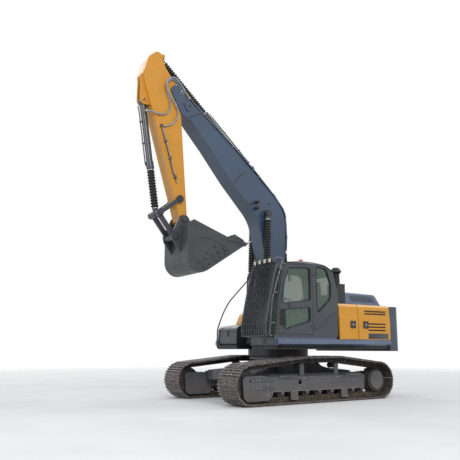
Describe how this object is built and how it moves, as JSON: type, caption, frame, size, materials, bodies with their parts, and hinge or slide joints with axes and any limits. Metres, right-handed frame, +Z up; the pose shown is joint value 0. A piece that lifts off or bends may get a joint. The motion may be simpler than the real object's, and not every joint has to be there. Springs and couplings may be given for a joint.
{
  "type": "crawler excavator",
  "caption": "Tracked excavator with a swinging upper body, guarded cab, counterweight, box boom, arm and digging bucket moved by booted cylinders.",
  "frame": {"origin": "on the ground under the swing axis, midway between the tracks", "axes": "+X the way the bucket digs, +Y the cab side, +Z up along the swing axis"},
  "size_m": [6.6519, 3.08, 7.6605],
  "materials": {
    "undercarriage_paint": "satin",
    "worn_steel": "worn",
    "cast_dark": "satin",
    "slate_paint": "gloss",
    "boom_paint": "gloss",
    "yellow_paint": "gloss",
    "black_paint": "satin",
    "window_glass": "clear",
    "seat_cloth": "matt",
    "control_plastic": "matt",
    "lamp_lens": "clear",
    "beacon_plastic": "clear",
    "cylinder_paint": "gloss",
    "chrome": "polished",
    "boot_rubber": "matt",
    "hose_braid": "satin"
  },
  "bodies": {
    "undercarriage": {"car_body": "undercarriage_paint", "swing_race_lower": "cast_dark", "side_frame_left": "undercarriage_paint", "side_frame_right": "undercarriage_paint", "track_left": "worn_steel", "track_right": "worn_steel", "idlers": "cast_dark", "final_drives": "cast_dark", "track_rollers": "cast_dark", "carrier_rollers": "cast_dark"},
    "upper": {"platform": "slate_paint", "cab_shell": "slate_paint", "cab_glass": "window_glass", "cab_seat": "seat_cloth", "cab_controls": "control_plastic", "front_guard": "black_paint", "work_lamps": "lamp_lens", "beacon": "beacon_plastic", "counterweight": "slate_paint", "engine_block": "cast_dark", "cooler": "cast_dark", "deck_covers": "slate_paint", "fuel_tank": "yellow_paint", "hydraulic_tank": "slate_paint", "tool_box": "slate_paint", "air_cleaner": "black_paint", "handrails": "black_paint"},
    "cab_door": {"cab_door": "slate_paint", "door_glass": "window_glass"},
    "cooler_door": {"cooler_door": "yellow_paint"},
    "engine_door": {"engine_door": "yellow_paint"},
    "pump_door": {"pump_door": "yellow_paint"},
    "engine_hood": {"engine_hood": "slate_paint"},
    "boom": {"boom": "boom_paint", "boom_pipes": "black_paint", "boom_lamp": "lamp_lens"},
    "boom_cylinders": {"boom_cylinders": "cylinder_paint", "boom_boots": "boot_rubber"},
    "boom_rods": {"boom_rods": "chrome"},
    "arm_cylinder": {"arm_cylinder": "cylinder_paint", "arm_boot": "boot_rubber"},
    "arm_rod": {"arm_rod": "chrome"},
    "arm": {"arm": "yellow_paint", "arm_pipe": "yellow_paint", "arm_hoses": "hose_braid"},
    "bucket_cylinder": {"bucket_cylinder": "cylinder_paint", "bucket_boot": "boot_rubber"},
    "bucket_rod": {"bucket_rod": "chrome"},
    "side_links": {"side_links": "slate_paint"},
    "h_link": {"h_link": "slate_paint"},
    "bucket": {"bucket": "slate_paint", "bucket_teeth": "worn_steel"}
  },
  "joints": [
    {"name": "swing", "type": "hinge", "parent": "undercarriage", "child": "upper", "pos_m": [0, 0, 1], "axis": [0, 0, 1], "continuous": true},
    {"name": "boom_lift", "type": "hinge", "parent": "upper", "child": "boom", "pos_m": [0.12, 0, 1.886], "axis": [0, -1, 0], "range_deg": [-100, 4]},
    {"name": "boom_cylinder_tilt", "type": "hinge", "parent": "upper", "child": "boom_cylinders", "pos_m": [0.6, 0, 1.3], "axis": [0, -1, 0], "range_deg": [-98.57, 4.13]},
    {"name": "boom_rod_slide", "type": "slide", "parent": "boom_cylinders", "child": "boom_rods", "axis": [-0.034, 0, 0.9994], "range_m": [-1.1606, 0.0483], "deforming": ["boom_boots"]},
    {"name": "arm_swing", "type": "hinge", "parent": "boom", "child": "arm", "pos_m": [2.94411, 0, 6.8372], "axis": [0, 1, 0], "range_deg": [-115, 0], "deforming": ["arm_hoses"]},
    {"name": "arm_cylinder_tilt", "type": "hinge", "parent": "boom", "child": "arm_cylinder", "pos_m": [0.80251, 0, 5.43393], "axis": [0, 1, 0], "range_deg": [-4.82, 0.2]},
    {"name": "arm_rod_slide", "type": "slide", "parent": "arm_cylinder", "child": "arm_rod", "axis": [0.7538, 0, 0.6571], "range_m": [-1.3364, 0.002], "deforming": ["arm_boot"]},
    {"name": "bucket_curl", "type": "hinge", "parent": "arm", "child": "bucket", "pos_m": [2.69978, 0, 3.92744], "axis": [0, 1, 0], "range_deg": [-105, 40]},
    {"name": "side_link_swing", "type": "hinge", "parent": "arm", "child": "side_links", "pos_m": [2.81084, 0, 4.36568], "axis": [0, 1, 0], "range_deg": [-65.16, 24.95]},
    {"name": "h_link_swing", "type": "hinge", "parent": "bucket", "child": "h_link", "pos_m": [2.90678, 0, 3.52844], "axis": [0, 1, 0], "range_deg": [-36.35, 95.09]},
    {"name": "bucket_cylinder_tilt", "type": "hinge", "parent": "arm", "child": "bucket_cylinder", "pos_m": [3.65633, 0, 6.47533], "axis": [0, 1, 0], "range_deg": [-2.67, 1.14]},
    {"name": "bucket_rod_slide", "type": "slide", "parent": "bucket_cylinder", "child": "bucket_rod", "axis": [-0.1494, 0, -0.9888], "range_m": [-0.6132, 0.2348], "deforming": ["bucket_boot"]},
    {"name": "cab_door_hinge", "type": "hinge", "parent": "upper", "child": "cab_door", "pos_m": [0.028, 1.3533, 1.6], "axis": [0, 0, 1], "range_deg": [0, 150]},
    {"name": "cooler_door_hinge", "type": "hinge", "parent": "upper", "child": "cooler_door", "pos_m": [-0.739, 1.35, 1.7], "axis": [0, 0, 1], "range_deg": [-85, 0]},
    {"name": "engine_door_hinge", "type": "hinge", "parent": "upper", "child": "engine_door", "pos_m": [-2.382, 1.35, 1.7], "axis": [0, 0, 1], "range_deg": [0, 90]},
    {"name": "pump_door_hinge", "type": "hinge", "parent": "upper", "child": "pump_door", "pos_m": [-2.382, -1.35, 1.7], "axis": [0, 0, -1], "range_deg": [0, 90]},
    {"name": "engine_hood_hinge", "type": "hinge", "parent": "upper", "child": "engine_hood", "pos_m": [-2.391, 0.2, 2.1923], "axis": [0, -1, 0], "range_deg": [0, 65]}
  ],
  "couplings": [
    {"joint": "boom_cylinder_tilt", "follows": "boom_lift", "ratio": 0.98367},
    {"joint": "boom_rod_slide", "follows": "boom_lift", "m_per_rad": 0.66381},
    {"joint": "arm_cylinder_tilt", "follows": "arm_swing", "ratio": 0.040201},
    {"joint": "arm_rod_slide", "follows": "arm_swing", "m_per_rad": 0.66481},
    {"joint": "side_link_swing", "follows": "bucket_curl", "ratio": 0.6187},
    {"joint": "h_link_swing", "follows": "bucket_curl", "ratio": -0.9037},
    {"joint": "bucket_cylinder_tilt", "follows": "bucket_curl", "ratio": 0.0235},
    {"joint": "bucket_rod_slide", "follows": "bucket_curl", "m_per_rad": 0.3335}
  ]
}
